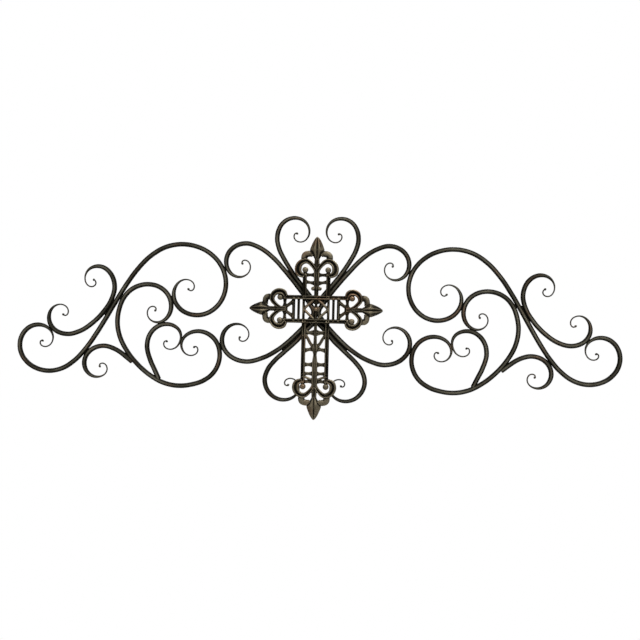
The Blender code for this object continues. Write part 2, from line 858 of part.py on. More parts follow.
def build_cross(material):
    cast = Casting()
    side_arms(cast)
    upright_arms(cast)
    crossing(cast)
    cross = cast.joined("openwork_cross")
    finish(cross, material, BAR_DEPTH + WELD_GAP)


for stale in list(bpy.data.objects):
    bpy.data.objects.remove(stale)

PARTS = bpy.data.collections.new("wall_cross")
CUTTERS = bpy.data.collections.new("cutters")
bpy.context.scene.collection.children.link(PARTS)
bpy.context.scene.collection.children.link(CUTTERS)

build_scrolls(make_material("blackened_iron", (0.030, 0.026, 0.019), 0.48, 0.75))
build_cross(make_material("rubbed_cast_iron", (0.040, 0.033, 0.023), 0.50, 0.75))
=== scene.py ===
"""Looks of the wall cross: smooth forged scrolls round a finely cast cross.

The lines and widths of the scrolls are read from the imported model. The cross
is drawn again with its relief, to the sizes of its solid. Sizes are in
millimetres, and MM turns them into metres where the meshes are made.
"""
import math

import bmesh
import bpy
import numpy as np
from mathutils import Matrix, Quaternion, Vector, noise


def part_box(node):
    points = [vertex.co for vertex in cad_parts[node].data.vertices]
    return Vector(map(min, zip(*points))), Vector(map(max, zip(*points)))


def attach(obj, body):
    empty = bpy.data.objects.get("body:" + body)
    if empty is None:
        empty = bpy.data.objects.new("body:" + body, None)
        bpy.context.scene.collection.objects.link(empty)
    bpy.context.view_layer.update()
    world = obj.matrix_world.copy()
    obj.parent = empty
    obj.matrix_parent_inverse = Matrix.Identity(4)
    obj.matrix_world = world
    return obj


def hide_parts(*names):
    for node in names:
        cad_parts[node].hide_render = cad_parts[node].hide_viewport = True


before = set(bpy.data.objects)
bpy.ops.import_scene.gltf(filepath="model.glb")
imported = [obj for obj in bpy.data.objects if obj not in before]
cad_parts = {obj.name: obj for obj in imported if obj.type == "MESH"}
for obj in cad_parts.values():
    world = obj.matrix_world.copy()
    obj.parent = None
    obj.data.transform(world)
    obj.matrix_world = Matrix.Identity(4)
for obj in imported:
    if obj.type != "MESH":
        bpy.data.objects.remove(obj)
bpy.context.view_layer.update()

MM = 0.001

# Camera, as the photograph was taken: a little from the right and tilted
CAMERA_DISTANCE = 2200.0
CAMERA_AIM = (7.3, -4.0, -31.1)
CAMERA_YAW = 3.78
CAMERA_ROLL = 1.33
CAMERA_LENS = 70.1
SENSOR_WIDTH = 36.0

# Studio
FLOOR_LEVEL = -1300.0
FLOOR_RADIUS = 2600.0
FLOOR_SIDES = 96
FLOOR_COLOUR = (0.82, 0.82, 0.81, 1)
FLOOR_ROUGHNESS = 0.7
BACKGROUND = 1.0         # what the camera sees behind the object
SURROUND = 0.08          # what lights the object from all round

# Soft lights: name, place and size in metres, and power in watts
LIGHTS = [
    ("key", (1.5, -1.9, 2.2), (1.4, 1.0), 95.0),
    ("fill", (-2.2, -2.4, 0.9), (1.4, 1.4), 18.0),
    ("top", (-0.3, -1.0, 2.5), (2.2, 0.6), 34.0),
    ("rear", (0.4, 2.6, 1.6), (2.0, 1.2), 70.0),
]

# Scrolls
RING_STEP = 2.0          # distance between the rings of a bar
FINE_SHARE = 0.28        # and no more than this share of its width
BACK_SHARE = 0.90        # width of a bar's flat back, as a share of the bar's
EDGE_HEIGHT = 0.08       # height of its rounded back edges, as a share of its depth
EDGE_RUB = 0.05
SHOULDER = 0.42          # height of the bar's upright sides, as a share of its depth
RIDGE = 1.75             # roundness of the front: 1 is a sharp ridge, 2 an ellipse
FRONT_POINTS = 12
HAMMER_DEPTH = 0.14
HAMMER_LENGTH = 11.0
HAMMER_SEED = 5          # gives the same hammer marks each run
FOOT_ROUND = 1.0         # length of the rounded end of a foot
FOOT_END = 0.7           # and its width, as a share of the foot's
TIP_BALL = 4.3           # width of the small ball that a drawn-out end is left with
TIP_END = 0.5            # and of its very end

# Welds
WELD_REACH = 1.1         # bars nearer to each other than this are welded
WELD_LENGTH = 7.0        # at least
WELD_SHARE = 0.6         # its length, as a share of the stretch where the bars touch
WELD_WIDTH = 4.0
WELD_DEPTH = 3.2
WELD_LEVEL = 1.8         # distance of its middle from the wall
WELD_RUB = 0.8
WELD_RIPPLE = 0.10       # depth of the ripples across it, as a share of its size
RIPPLE_PITCH = 24.0      # turn of a ripple over the length of a lump, in radians
WELD_UNEVEN = 0.12       # other unevenness, as a share of its size
LUMP_SIDES = 18
LUMP_LEVELS = 10
SEAM_LENGTH = 28.0       # bars that touch for longer than this have a seam of small lumps
SEAM_WIDTH = 2.6
SEAM_PITCH = 5.0         # distance between the lumps of a seam
SEAM_LUMP = 9.5          # length of each

# Cross, as in its solid
TOP_ARM = 128.0
BOTTOM_ARM = 195.0
SIDE_ARM = 118.0
BEAM_WIDTH = 49.0
RAIL_WIDTH = 7.4
RAIL_DEPTH = 6.4
STEM_DEPTH = 8.6
RUNG_DEPTH = 5.2
RUNG_WIDTH = 4.6
RUNG_SWELL = (2.3, 1.1, 1.7)  # shares of that at the stem, half way and at the rail
BRANCH_DEPTH = 6.0
FINIAL_LENGTH = 67.5
SIDE_FINIAL_SIZE = 0.93
CURL_REACH = 39.0
CURL_WIDTH = 12.0
CURL_DEPTH = 9.4
EAR_REACH = 22.3         # to the middle of the ear's band
EAR_WIDTH = 11.5
EAR_DEPTH = 7.2
BUD_WIDTH = 25.5
BUD_DEPTH = 11.0
BUD_SHOULDER = 0.48      # share of the bud's length that it swells over
BUD_FOOT = 0.28          # width of its foot, as a share of its widest
BUD_TAPER = 0.6          # how full it stays towards its tip: 1 is a straight taper
BUD_TIP = 0.4            # half-width of its tip
BUD_THIN = 0.45          # depth that it keeps however narrow it gets, as a share
BUD_SIDE = 0.36          # height of its sides, as a share of its depth there
BUD_STEPS = 26
BUD_SPACING = 1.35       # brings its rings closer together towards its tip: 1 is even
BUD_FACETS = 14
CROWN_FLATNESS = 2.6     # how flat its front is, and how fast that falls to its sides
CROWN_FALL = 0.6
GROOVE_DEPTH = 0.30      # its middle groove, as shares of its depth and half-width
GROOVE_WIDTH = 0.16
VEIN_DEPTH = 0.10        # and its side veins
VEIN_WIDTH = 0.12
VEIN_PLACE = 0.62
EYE_WIDTH = 10.5
EYE_DEPTH = 9.0
STALK_WIDTH = 6.0
STROKE_WIDTH = 4.6
STROKE_PITCH = 8.8
UPRIGHT_BAR_WIDTH = 5.4  # upright bar that closes each side arm
UPRIGHT_BAR_DEPTH = 5.8
BOSS_WIDTH = 13.0
BOSS_DEPTH = 6.4
BOSS_FOOT = 0.45         # height of a boss's upright foot, as a share of its depth
BOSS_SIDES = 20
BOSS_LEVELS = 6
BOSS_CROWN = 0.62        # width of the smaller boss on the middle one, as a share
SMALL_BOSS_WIDTH = 7.0   # the two bosses on the upper arm
SMALL_BOSS_DEPTH = 7.4
SMALL_BOSS_PLACE = 6.0
RELIEF_STEP = 1.6        # distance between the rings of a strip
THIN_DEPTH = 0.55        # depth that a strip keeps however thin it gets, as a share
VOXEL = 0.55             # grain of the mesh that the relief is fused in
CAST_ROUNDING = 4        # passes that round its edges, as a casting's are
CAST_TRIANGLES = 170000
CAST_GRAIN = 0.10        # height of the casting's grain
COARSE_GRAIN = 2.2       # and the sizes of its two kinds
FINE_GRAIN = 0.9

# Places that several pieces of the cross share
RAIL_PLACE = (BEAM_WIDTH - RAIL_WIDTH) / 2
TOP_FOOT = TOP_ARM - FINIAL_LENGTH
BOTTOM_FOOT = BOTTOM_ARM - FINIAL_LENGTH
SIDE_FOOT = SIDE_ARM - FINIAL_LENGTH * SIDE_FINIAL_SIZE
STEM_END = 0.42 * FINIAL_LENGTH
UPRIGHT_BAR = 0.715 * SIDE_FOOT

# Wear of the cross, and painted shade in its hollows
WEAR_PASSES = 14         # passes that smooth a copy, which what stands out is told by
WEAR_BULGE = 0.55        # standing out this far shows the full bronze wear, and sinking as far leaves a hollow dark as painted shade
WEAR_LEVEL = 0.16        # rub of a face that looks forward, at the back of the cross
WEAR_RISE = 0.26         # what it has more at the front
WEAR_TURN = 1.5          # how fast it lessens as a face turns away
HANDLED = 0.9            # share of the rub in the middle of the cross
HANDLED_ENDS = 0.5       # what the ends of the side arms have less
ENDS_FROM = 0.375        # share of a side arm where that starts
HANDLED_LOW = 1.9        # what the lower arm has more
LOW_REACH = 70.0         # distance below the middle where it has all of that

# Paint. Lengths are in metres, and grain_scale is grains to the metre.
FORGED_PAINT = {
    "dark": (0.0022, 0.0021, 0.0012, 1),
    "warm": (0.007, 0.0058, 0.0032, 1),
    # bronze wear colour, which along the bars' ridges also paints their highlight
    "rubbed_and_highlight": (0.172, 0.161, 0.122, 1),
    "rub_from": 0.60,
    "rub_to": 1.0,
    "least": 0.25,
    "grain_scale": 900.0,
    "grain_height": 0.00012,
}
CAST_PAINT = {
    "dark": (0.0040, 0.0035, 0.0021, 1),
    "warm": (0.012, 0.009, 0.005, 1),
    "rubbed_and_highlight": (0.235, 0.200, 0.136, 1),
    "rub_from": 0.24,
    "rub_to": 0.85,
    "least": 0.75,
    "grain_scale": 700.0,
    "grain_height": 0.0002,
}
WARMER = (1.05, 0.78, 0.70)  # red, green and blue of the redder patches, as shares
SHINE = 0.12
SHINE_COLOUR = (1.0, 0.94, 0.74, 1)
RUBBED_METALLIC = 0.45
PAINT_ROUGHNESS = 0.56
RUBBED_ROUGHNESS = 0.42

BACK = {"bars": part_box("left_large_s_scroll")[1].y, "cross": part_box("openwork_cross")[1].y}
CROSS_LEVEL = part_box("openwork_cross")[1].z - TOP_ARM * MM


# Lines

def unit(x, z):
    length = math.hypot(x, z)
    return (x / length, z / length)


def turn_between(u, v):
    """Angle between two headings."""
    return math.acos(max(-1.0, min(1.0, u[0] * v[0] + u[1] * v[1])))


def directions(points):
    """Heading at each point, along the circle through it and its neighbours."""
    chords = [
        (math.dist(a, b), unit(b[0] - a[0], b[1] - a[1])) for a, b in zip(points, points[1:])
    ]
    headings = [chords[0][1]]
    for (first, u), (second, v) in zip(chords, chords[1:]):
        headings.append(unit(u[0] * second + v[0] * first, u[1] * second + v[1] * first))
    headings.append(chords[-1][1])
    return headings


def end_headings(points, headings):
    """Lets the line's two ends carry on the bend of their neighbours."""
    for end, following in ((0, 1), (-1, -2)):
        x, z = unit(points[following][0] - points[end][0], points[following][1] - points[end][1])
        if end == -1:
            x, z = -x, -z
        along = headings[following][0] * x + headings[following][1] * z
        headings[end] = (2 * along * x - headings[following][0],
                         2 * along * z - headings[following][1])
    return headings


def smooth_line(points, widths, step):
    """Rings along a smooth curve through points: place, heading and width."""
    headings = directions(points)
    if len(points) > 2:
        headings = end_headings(points, headings)
    rings = []
    for k in range(len(points) - 1):
        a, b = points[k], points[k + 1]
        u, v = headings[k], headings[k + 1]
        turn = turn_between(u, v)
        reach = math.dist(a, b) / 3 / math.cos(turn / 4) ** 2
        first = (a[0] + u[0] * reach, a[1] + u[1] * reach)
        second = (b[0] - v[0] * reach, b[1] - v[1] * reach)
        fine = min(step, FINE_SHARE * (widths[k] + widths[k + 1]) / 2)
        count = max(2, round(math.dist(a, b) / fine))
        last = k == len(points) - 2
        for i in range(count + last):
            t = i / count
            s = 1 - t
            place = tuple(
                s ** 3 * a[n] + 3 * s * s * t * first[n]
                + 3 * s * t * t * second[n] + t ** 3 * b[n] for n in (0, 1)
            )
            heading = unit(*(
                s * s * (first[n] - a[n]) + 2 * s * t * (second[n] - first[n])
                + t * t * (b[n] - second[n]) for n in (0, 1)
            ))
            rings.append((place, heading, widths[k] * s + widths[k + 1] * t))
    return rings


def running_length(rings):
    """Length along the line at each of its rings."""
    run = [0.0]
    for ring, following in zip(rings, rings[1:]):
        run.append(run[-1] + math.dist(ring[0], following[0]))
    return run


# Scrolls

def back_outline(node):
    """Corners of a bar's flat back, in order round it, as (x, z)."""
    work = bmesh.new()
    work.from_mesh(node.data)
    bmesh.ops.remove_doubles(work, verts=work.verts, dist=0.000001)
    work.verts.index_update()
    flat = {face for face in work.faces if all(abs(v.co.y) < 0.00001 for v in face.verts)}
    following = {}
    for face in flat:
        for loop in face.loops:
            if loop.link_loop_radial_next.face not in flat:
                following[loop.vert] = loop.link_loop_next.vert
    corner = min(following, key=lambda vert: vert.index)
    outline = [corner]
    while following[outline[-1]] is not corner:
        outline.append(following[outline[-1]])
    outline = [(vert.co.x / MM, vert.co.z / MM) for vert in outline]
    work.free()
    return outline


def bar_line(node):
    """Middle points and widths along a bar, and whether it ends in a cut foot.

    A cut foot is drawn on at its full width to its far corner, so that it sinks
    into the bar that it stands on.
    """
    outline = back_outline(node)
    count = len(outline)

    def pairs_from(start):
        return [
            (outline[(start + i) % count], outline[(start - 1 - i) % count])
            for i in range(count // 2)
        ]

    pairs = min(
        (pairs_from(start) for start in range(count)),
        key=lambda found: sum(math.dist(*pair) for pair in found),
    )
    cut = pairs.pop() if count % 2 == 1 else None
    points = [((a[0] + b[0]) / 2, (a[1] + b[1]) / 2) for a, b in pairs]
    chords = [unit(b[0] - a[0], b[1] - a[1]) for a, b in zip(points, points[1:])]
    widths = [math.dist(*pairs[0])]
    for u, v, pair in zip(chords, chords[1:], pairs[1:]):
        widths.append(math.dist(*pair) * math.cos(turn_between(u, v) / 2))
    widths.append(math.dist(*pairs[-1]))
    if cut:
        sides = zip(cut[0], cut[1], *pairs[-1])
        heading = unit(*(a + b - c - d for a, b, c, d in sides))
        start = points[-1]
        reach = max((x - start[0]) * heading[0] + (z - start[1]) * heading[1] for x, z in cut)
        for share in (0.5, 1.0):
            points.append(tuple(start[n] + heading[n] * reach * share for n in (0, 1)))
            widths.append(widths[-1])
    return points, widths, cut is not None


def bar_section():
    """Half-width, height and bronze wear at each corner of a bar's section; along the front
    ridge the wear also paints the ridge's highlight.
    """
    section = [(-BACK_SHARE, 0.0, 0.0), (BACK_SHARE, 0.0, 0.0), (1.0, EDGE_HEIGHT, EDGE_RUB)]
    for k in range(FRONT_POINTS + 1):
        angle = math.pi * k / FRONT_POINTS
        across = math.copysign(abs(math.cos(angle)) ** (2 / RIDGE), math.cos(angle))
        rise = math.sin(angle) ** (2 / RIDGE)
        # most wear at the ridge and none at the sides: bronze wear and a painted highlight along
        # the ridge
        section.append((across, SHOULDER + (1 - SHOULDER) * rise, math.sin(angle) ** 3))
    section.append((-1.0, EDGE_HEIGHT, EDGE_RUB))
    return section


def tip_balls(rings, start, end):
    """The rings with a small ball on each drawn-out end."""
    run = running_length(rings)
    radius = TIP_BALL / 2
    balled = []
    for along, (place, heading, width) in zip(run, rings):
        for used, gap in ((start, along), (end, run[-1] - along)):
            if used and gap < TIP_BALL:
                ball = 2 * math.sqrt(max(0.0, radius ** 2 - (gap - radius) ** 2))
                width = max(ball, TIP_END if gap < radius else width)
        balled.append((place, heading, width))
    return balled


def hammered(point):
    """Moves a point a little, as hammer blows leave a bar."""
    grain = Vector(point) / (HAMMER_LENGTH * MM)
    return Vector(point) + noise.noise_vector(grain) * HAMMER_DEPTH * MM


def sweep(work, rub_and_painted_light, rings, section, depth_share):
    """Adds a bar: its section at each ring, closed at both ends."""
    previous = None
    for (x, z), (u, v), width in rings:
        half = width / 2
        ring = []
        for across, front, wear_and_painted_light in section:
            point = (
                (x + v * half * across) * MM,
                BACK["bars"] - front * width * depth_share * MM,
                (z - u * half * across) * MM,
            )
            vert = work.verts.new(hammered(point) if front > 0 else point)
            # share of bronze wear, and along the ridge of painted highlight
            vert[rub_and_painted_light] = wear_and_painted_light
            ring.append(vert)
        if previous:
            for i in range(len(ring)):
                j = (i + 1) % len(ring)
                work.faces.new((previous[i], previous[j], ring[j], ring[i]))
        else:
            work.faces.new(ring)
        previous = ring
    work.faces.new(previous)


def mesh_object(name, work, material):
    """A smooth-shaded object of the finished mesh."""
    bmesh.ops.recalc_face_normals(work, faces=work.faces)
    mesh = bpy.data.meshes.new(name)
    work.to_mesh(mesh)
    work.free()
    for polygon in mesh.polygons:
        polygon.use_smooth = True
    mesh.materials.append(material)
    obj = bpy.data.objects.new(name, mesh)
    bpy.context.scene.collection.objects.link(obj)
    return obj


def build_bar(node_name, material):
    """A smooth bar in the place of a faceted one. Gives its rings."""
    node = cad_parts[node_name]
    points, widths, footed = bar_line(node)
    low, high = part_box(node_name)
    depth_share = (high.y - low.y) / MM / max(widths)
    rings = tip_balls(smooth_line(points, widths, RING_STEP), True, not footed)
    if footed:
        place, heading, width = rings[-1]
        place = tuple(place[n] + heading[n] * FOOT_ROUND for n in (0, 1))
        rings.append((place, heading, FOOT_END * width))
    work = bmesh.new()
    rub_and_painted_light = work.verts.layers.float.new("rub_and_painted_light")
    sweep(work, rub_and_painted_light, rings, bar_section(), depth_share)
    piece = mesh_object("forged_" + node_name, work, material)
    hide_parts(node_name)
    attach(piece, "root")
    return rings


# Welds

def lump(work, rub_and_painted_light, place, heading, length, width):
    """A low uneven lump of weld, its length along the heading."""
    before = set(work.verts)
    bmesh.ops.create_uvsphere(
        work, u_segments=LUMP_SIDES, v_segments=LUMP_LEVELS, radius=0.5)
    for vert in set(work.verts) - before:
        vert[rub_and_painted_light] = max(0.0, 2 * vert.co.z) ** 2 * WELD_RUB
        uneven = noise.noise(vert.co * 3 + Vector((place[0], 0, place[1])))
        ripple = 1 + WELD_RIPPLE * math.sin(vert.co.x * RIPPLE_PITCH) + WELD_UNEVEN * uneven
        along = vert.co.x * length
        across = vert.co.y * width * ripple
        out = vert.co.z * WELD_DEPTH * ripple
        vert.co = (
            (place[0] + heading[0] * along + heading[1] * across) * MM,
            -(WELD_LEVEL + out) * MM,
            (place[1] + heading[1] * along - heading[0] * across) * MM,
        )


def touching(rings, others):
    """Lumps of weld where one bar touches another: place, heading, length and width."""
    found = []
    stretch = []
    for place, heading, width in rings:
        near = min(others, key=lambda other: math.dist(other[0], place))
        gap = math.dist(near[0], place) - (width + near[2]) / 2
        if gap < WELD_REACH:
            share = width / (width + near[2])
            middle = tuple(place[n] + (near[0][n] - place[n]) * share for n in (0, 1))
            stretch.append((gap, middle, heading))
        elif stretch:
            found.append(stretch)
            stretch = []
    if stretch:
        found.append(stretch)
    spots = []
    for stretch in found:
        length = math.dist(stretch[0][1], stretch[-1][1])
        _, middle, heading = min(stretch)
        if length < SEAM_LENGTH:
            spots.append((middle, heading, max(WELD_SHARE * length, WELD_LENGTH), WELD_WIDTH))
            continue
        last = stretch[0][1]
        for _, middle, heading in stretch:
            if math.dist(middle, last) > SEAM_PITCH:
                spots.append((middle, heading, SEAM_LUMP, SEAM_WIDTH))
                last = middle
    return spots


def build_welds(bars, material):
    """Every weld between the bars, as one piece."""
    work = bmesh.new()
    rub_and_painted_light = work.verts.layers.float.new("rub_and_painted_light")
    names = sorted(bars)
    for k, name in enumerate(names):
        for other in names[k + 1:]:
            for place, heading, length, width in touching(bars[name], bars[other]):
                lump(work, rub_and_painted_light, place, heading, length, width)
    piece = mesh_object("scroll_welds", work, material)
    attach(piece, "root")


# Cross

# Each arm is drawn along its own run: across is how far a point is to the side,
# and out is how far it is from the middle of the cross
ARM_FRAMES = {
    "top": lambda across, out: (across, out),
    "bottom": lambda across, out: (across, -out),
    "left": lambda across, out: (-out, across),
    "right": lambda across, out: (out, across),
}

# Sections of the cast strips: (side, height), from one foot to the other
DOME = [(-1, 0), (-1, 0.45), (-0.92, 0.68), (-0.72, 0.86), (-0.40, 0.97), (0, 1),
        (0.40, 0.97), (0.72, 0.86), (0.92, 0.68), (1, 0.45), (1, 0)]
DOUBLE_BEAD = [(-1, 0), (-1, 0.60), (-0.90, 0.88), (-0.66, 1), (-0.42, 0.88), (-0.22, 0.60),
               (0, 0.52), (0.22, 0.60), (0.42, 0.88), (0.66, 1), (0.90, 0.88), (1, 0.60), (1, 0)]
LEAF = [(-1, 0), (-1, 0.50), (-0.86, 0.78), (-0.62, 0.82), (-0.30, 0.66), (-0.12, 0.86),
        (0, 1), (0.12, 0.86), (0.30, 0.66), (0.62, 0.82), (0.86, 0.78), (1, 0.50), (1, 0)]


class Relief:
    """Gathers the overlapping closed forms that the cross is fused from."""

    def __init__(self):
        self.work = bmesh.new()
        self.frame = ARM_FRAMES["top"]

    def loft(self, outlines):
        """A closed form through outlines of (across, out, front) points."""
        rings = []
        for outline in outlines:
            ring = []
            for across, out, front in outline:
                x, z = self.frame(across, out)
                ring.append(self.work.verts.new((
                    x * MM, BACK["cross"] - front * MM, CROSS_LEVEL + z * MM,
                )))
            rings.append(ring)
        for ring, following in zip(rings, rings[1:]):
            for i in range(len(ring)):
                j = (i + 1) % len(ring)
                self.work.faces.new((ring[i], ring[j], following[j], following[i]))
        self.work.faces.new(rings[0])
        self.work.faces.new(rings[-1])

    def strip(self, points, widths, depth, section=DOME, sides=(1,)):
        """A cast strip along points; sides of (-1, 1) makes it on both sides."""
        if not isinstance(widths, (list, tuple)):
            widths = [widths] * len(points)
        widest = max(widths)
        for side in sides:
            rings = smooth_line([(side * a, o) for a, o in points], widths, RELIEF_STEP)
            self.loft([
                [
                    (x + v * across * width / 2, z - u * across * width / 2,
                     front * depth * (THIN_DEPTH + (1 - THIN_DEPTH) * width / widest))
                    for across, front in section
                ]
                for (x, z), (u, v), width in rings
            ])

    def boss(self, across, out, width, depth):
        """A domed round boss on an upright foot."""
        levels = [(1.0, 0.0), (1.0, BOSS_FOOT)]
        for k in range(1, BOSS_LEVELS):
            angle = math.pi / 2 * k / BOSS_LEVELS
            levels.append((math.cos(angle), BOSS_FOOT + (1 - BOSS_FOOT) * math.sin(angle)))
        self.loft([
            [
                (across + width / 2 * share * math.cos(turn),
                 out + width / 2 * share * math.sin(turn), depth * level)
                for turn in (math.tau * k / BOSS_SIDES for k in range(BOSS_SIDES))
            ]
            for share, level in levels
        ])

    def bud(self, foot, tip, width, depth):
        """A pointed bud of two swelling halves, with a groove and sunk veins."""
        outlines = []
        for k in range(BUD_STEPS + 1):
            along = 1 - (1 - k / BUD_STEPS) ** BUD_SPACING
            if along < BUD_SHOULDER:
                near = along / BUD_SHOULDER
                swell = BUD_FOOT + (1 - BUD_FOOT) * near * near * (3 - 2 * near)
            else:
                swell = ((1 - along) / (1 - BUD_SHOULDER)) ** BUD_TAPER
            half = max(width / 2 * swell, BUD_TIP)
            rise = depth * (BUD_THIN + (1 - BUD_THIN) * swell)
            out = foot + (tip - foot) * along
            outline = [(-half, out, 0.0), (half, out, 0.0)]
            for i in range(BUD_FACETS + 1):
                across = 1 - 2 * i / BUD_FACETS
                crown = (1 - abs(across) ** CROWN_FLATNESS) ** CROWN_FALL
                groove = GROOVE_DEPTH * math.exp(-(across / GROOVE_WIDTH) ** 2)
                vein = VEIN_DEPTH * math.exp(-((abs(across) - VEIN_PLACE) / VEIN_WIDTH) ** 2)
                height = max(BUD_SIDE, crown - groove - vein)
                outline.append((half * across, out, rise * height))
            outlines.append(outline)
        self.loft(outlines)


def rung(relief, out, rise=0.0, width=RUNG_WIDTH):
    """A bar across the arm, of two leaves that meet on the stem."""
    leaf = [(0, out), (0.5 * RAIL_PLACE, out + 0.4 * rise), (RAIL_PLACE, out + rise)]
    relief.strip(leaf, [swell * width for swell in RUNG_SWELL], RUNG_DEPTH, LEAF, (-1, 1))


def stem(relief, stations):
    """The middle strip of an arm, through stations of (out, width)."""
    points = [(0, out) for out, _ in stations]
    relief.strip(points, [width for _, width in stations], STEM_DEPTH, LEAF)


def finial(relief, foot, size):
    """Bud, ears and curls on the end of an arm, from the rung at their foot."""
    length = FINIAL_LENGTH * size
    reach = (CURL_REACH - CURL_WIDTH / 2) * size
    curl = [
        (0.06 * reach, foot + 0.10 * length), (0.26 * reach, foot + 0.26 * length),
        (0.55 * reach, foot + 0.36 * length), (0.86 * reach, foot + 0.31 * length),
        (reach, foot + 0.17 * length), (0.93 * reach, foot + 0.035 * length),
        (RAIL_PLACE + 1.5, foot - 0.01 * length),
    ]
    swell = [0.50, 0.60, 0.74, 0.88, 1.0, 0.92, 0.66]
    widths = [CURL_WIDTH * size * share for share in swell]
    relief.strip(curl, widths, CURL_DEPTH, DOUBLE_BEAD, (-1, 1))
    ear = EAR_REACH * size
    lobe = [
        (0.30 * ear, foot + 0.53 * length), (0.66 * ear, foot + 0.55 * length),
        (0.95 * ear, foot + 0.51 * length), (ear, foot + 0.42 * length),
        (0.92 * ear, foot + 0.33 * length),
    ]
    widths = [EAR_WIDTH * size * share for share in (0.8, 0.95, 1.0, 1.0, 0.8)]
    relief.strip(lobe, widths, EAR_DEPTH, DOME, (-1, 1))
    eye = (RAIL_PLACE - 0.5, foot + 0.13 * length)
    relief.strip([(eye[0], foot - 1), eye], STALK_WIDTH, RAIL_DEPTH, DOME, (-1, 1))
    for side in (-1, 1):
        relief.boss(side * eye[0], eye[1], EYE_WIDTH, EYE_DEPTH)
    relief.bud(foot + 0.36 * length, foot + length, BUD_WIDTH * size, BUD_DEPTH)
    rung(relief, foot)


def upright_arm(relief, end, foot):
    """The rails and finial of the upper or lower arm."""
    relief.frame = ARM_FRAMES[end]
    run = [(RAIL_PLACE, RAIL_PLACE), (RAIL_PLACE, foot + 1.0)]
    relief.strip(run, RAIL_WIDTH, RAIL_DEPTH, DOUBLE_BEAD, (-1, 1))
    finial(relief, foot, 1.0)


def upper_arm(relief):
    """The upper arm, with a boss on each side of its stem."""
    foot = TOP_FOOT
    upright_arm(relief, "top", foot)
    stem(relief, [(RAIL_PLACE, 7.4), (0.55 * foot, 7.6), (0.62 * foot, 11.5),
                  (0.70 * foot, 8.0), (foot, 10.5), (foot + STEM_END, 8.5)])
    rung(relief, 0.755 * foot, 0.05 * foot)
    for side in (-1, 1):
        place = side * SMALL_BOSS_PLACE
        relief.boss(place, 0.60 * foot, SMALL_BOSS_WIDTH, SMALL_BOSS_DEPTH)


def lower_arm(relief):
    """The lower arm, with two branches that rise from its stem."""
    rail = RAIL_PLACE
    foot = BOTTOM_FOOT
    upright_arm(relief, "bottom", foot)
    stem(relief, [(rail, 5.6), (0.34 * foot, 5.2), (0.48 * foot, 6.4), (0.54 * foot, 10.5),
                  (0.63 * foot, 6.0), (0.74 * foot, 9.6), (0.92 * foot, 9.4), (foot, 10.5),
                  (foot + STEM_END, 8.5)])
    branch = [(1.5, 0.53 * foot), (0.42 * rail, 0.47 * foot), (0.66 * rail, 0.40 * foot),
              (rail, 0.345 * foot)]
    relief.strip(branch, [7.0, 5.5, 5.5, 8.0], BRANCH_DEPTH, LEAF, (-1, 1))
    rung(relief, 0.325 * foot, 0.0, 5.4)
    rung(relief, 0.545 * foot, 0.03 * foot, 5.2)
    rung(relief, 0.765 * foot, 0.0, 5.2)
    rung(relief, 0.89 * foot)
    relief.strip([(1.5, 0.985 * foot), (rail, 0.925 * foot)], 4.4, RUNG_DEPTH, DOME, (-1, 1))


def side_arms(relief):
    """Both side arms, with plain strokes across them."""
    rail = RAIL_PLACE
    foot = SIDE_FOOT
    for side in (-1, 1):
        relief.frame = ARM_FRAMES["right"]
        relief.strip([(side * rail, -foot - 1), (side * rail, foot + 1)],
                     RAIL_WIDTH, RAIL_DEPTH, DOUBLE_BEAD)
    for end in ("left", "right"):
        relief.frame = ARM_FRAMES[end]
        finial(relief, foot, SIDE_FINIAL_SIZE)
        stem(relief, [(foot - 2, 8.0), (foot + 6, 9.5), (foot + STEM_END, 8.0)])
        branch = [(1.2, foot + 3.0), (0.25 * rail, 0.93 * foot), (0.42 * rail, 0.84 * foot),
                  (0.66 * rail, UPRIGHT_BAR)]
        relief.strip(branch, [9.0, 6.0, 6.0, 8.0], BRANCH_DEPTH, LEAF, (-1, 1))
        across = [(-rail, UPRIGHT_BAR), (rail, UPRIGHT_BAR)]
        relief.strip(across, UPRIGHT_BAR_WIDTH, UPRIGHT_BAR_DEPTH)
        for k in (1, 2):
            place = UPRIGHT_BAR - k * STROKE_PITCH
            relief.strip([(-rail, place), (rail, place)], STROKE_WIDTH, RUNG_DEPTH)


def crossing(relief):
    """A lozenge with a boss, in the middle of the cross."""
    half = UPRIGHT_BAR - 2 * STROKE_PITCH
    relief.frame = ARM_FRAMES["top"]
    for side in (-1, 1):
        slope = [(0, side * RAIL_PLACE), (half, 0)]
        relief.strip(slope, STROKE_WIDTH, RUNG_DEPTH, DOME, (-1, 1))
    relief.strip([(0, -RAIL_PLACE), (0, RAIL_PLACE)], STROKE_WIDTH, RUNG_DEPTH)
    relief.boss(0, 0, BOSS_WIDTH, BOSS_DEPTH)
    relief.boss(0, 0, BOSS_CROWN * BOSS_WIDTH, STEM_DEPTH)


def applied(obj):
    """The object's mesh with its modifiers made real."""
    bpy.context.view_layer.update()
    graph = bpy.context.evaluated_depsgraph_get()
    return bpy.data.meshes.new_from_object(obj.evaluated_get(graph))


def fuse(obj):
    """Fuses overlapping forms into one skin and rounds it like a casting."""
    remesh = obj.modifiers.new("fuse", "REMESH")
    remesh.mode = "VOXEL"
    remesh.voxel_size = VOXEL * MM
    rounding = obj.modifiers.new("round", "SMOOTH")
    rounding.factor = 0.5
    rounding.iterations = CAST_ROUNDING
    mesh = applied(obj)
    triangles = 2 * len(mesh.polygons)
    bpy.data.meshes.remove(mesh)
    thinning = obj.modifiers.new("thin", "DECIMATE")
    thinning.ratio = min(1.0, CAST_TRIANGLES / triangles)
    mesh = applied(obj)
    obj.modifiers.clear()
    old = obj.data
    obj.data = mesh
    bpy.data.meshes.remove(old)


